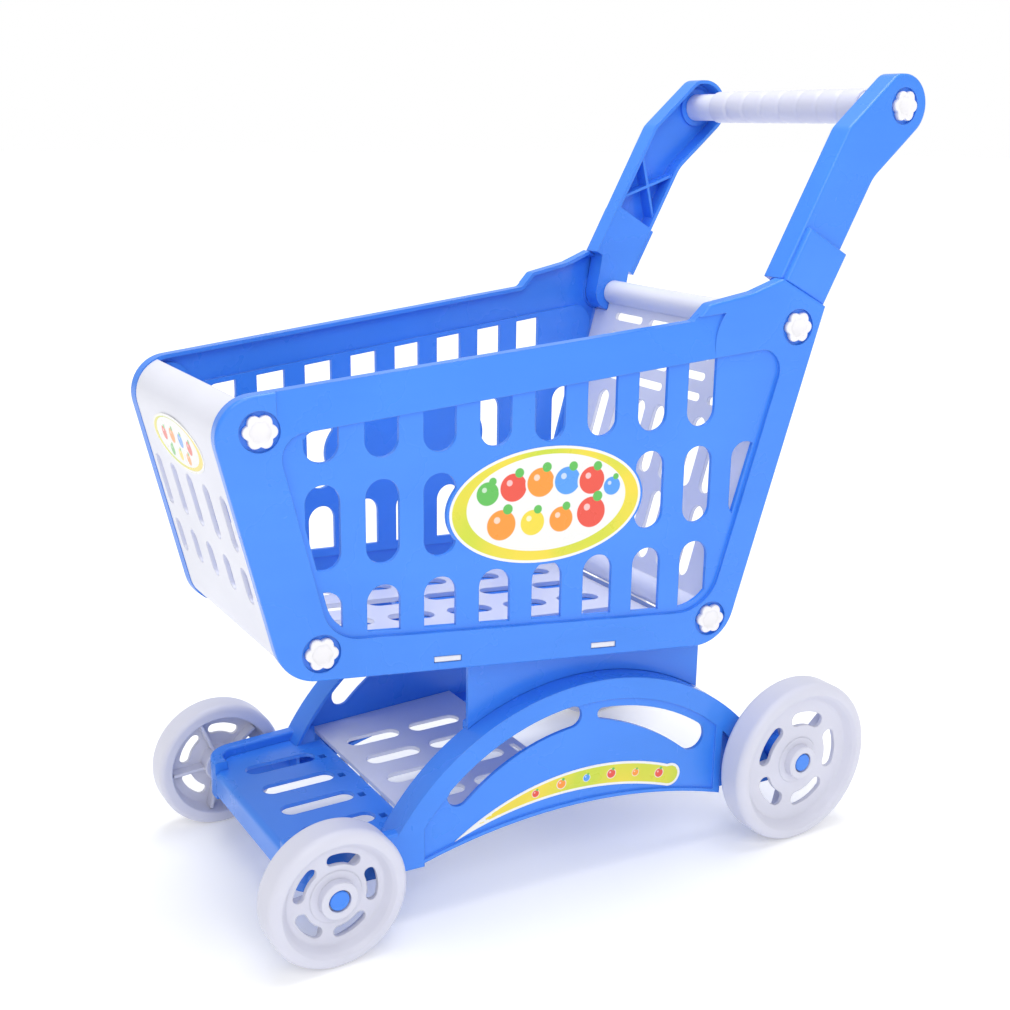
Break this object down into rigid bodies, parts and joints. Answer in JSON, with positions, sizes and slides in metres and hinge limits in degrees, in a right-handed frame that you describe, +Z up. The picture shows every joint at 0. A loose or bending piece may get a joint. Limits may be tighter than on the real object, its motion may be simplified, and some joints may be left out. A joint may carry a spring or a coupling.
{
  "type": "toy shopping cart",
  "caption": "Child's toy shopping cart: tapered slotted plastic basket with a push handle on an arched chassis with a lower tray and rolling dished wheels",
  "frame": {"origin": "on the floor, under the middle of the cart's bounding box", "axes": "+Z up, +Y towards the push handle at the back, +X to the cart's left"},
  "size_m": [0.239, 0.4312, 0.4651],
  "materials": {
    "blue_shell": "glossy moulded blue plastic",
    "white_shell": "glossy moulded white plastic",
    "white_wheel": "glossy moulded white plastic wheel",
    "white_screw": "moulded white plastic hand screw",
    "printed_label": "printed vinyl label, yellow green"
  },
  "bodies": {
    "cart_frame": {"front_panel": "white_shell", "back_panel": "white_shell", "basket_floor": "white_shell", "handle_bar": "white_shell", "handle_grip": "white_shell", "handle_screws": "white_screw", "front_top_screws": "white_screw", "front_bottom_screws": "white_screw", "rear_top_screws": "white_screw", "rear_bottom_screws": "white_screw", "pedestal": "blue_shell", "front_deck": "blue_shell", "lower_tray": "white_shell", "front_label": "printed_label", "side_panel_left": "blue_shell", "side_panel_right": "blue_shell", "handle_arm_left": "blue_shell", "handle_arm_right": "blue_shell", "chassis_side_left": "blue_shell", "chassis_side_right": "blue_shell", "side_label_left": "printed_label", "side_label_right": "printed_label", "arch_label_left": "printed_label", "arch_label_right": "printed_label", "front_axle_pin_left": "blue_shell", "front_axle_pin_right": "blue_shell", "rear_axle_pin_left": "blue_shell", "rear_axle_pin_right": "blue_shell"},
    "front_wheel_left_body": {"front_wheel_left": "white_wheel"},
    "front_wheel_right_body": {"front_wheel_right": "white_wheel"},
    "rear_wheel_left_body": {"rear_wheel_left": "white_wheel"},
    "rear_wheel_right_body": {"rear_wheel_right": "white_wheel"}
  },
  "joints": [
    {"name": "front_wheel_left_roll", "type": "hinge", "parent": "cart_frame", "child": "front_wheel_left_body", "pos_m": [0.0905, -0.16936, 0.04], "axis": [1, 0, 0], "continuous": true},
    {"name": "front_wheel_right_roll", "type": "hinge", "parent": "cart_frame", "child": "front_wheel_right_body", "pos_m": [-0.0905, -0.16936, 0.04], "axis": [1, 0, 0], "continuous": true},
    {"name": "rear_wheel_left_roll", "type": "hinge", "parent": "cart_frame", "child": "rear_wheel_left_body", "pos_m": [0.1095, 0.13764, 0.052], "axis": [1, 0, 0], "continuous": true},
    {"name": "rear_wheel_right_roll", "type": "hinge", "parent": "cart_frame", "child": "rear_wheel_right_body", "pos_m": [-0.1095, 0.13764, 0.052], "axis": [1, 0, 0], "continuous": true}
  ]
}
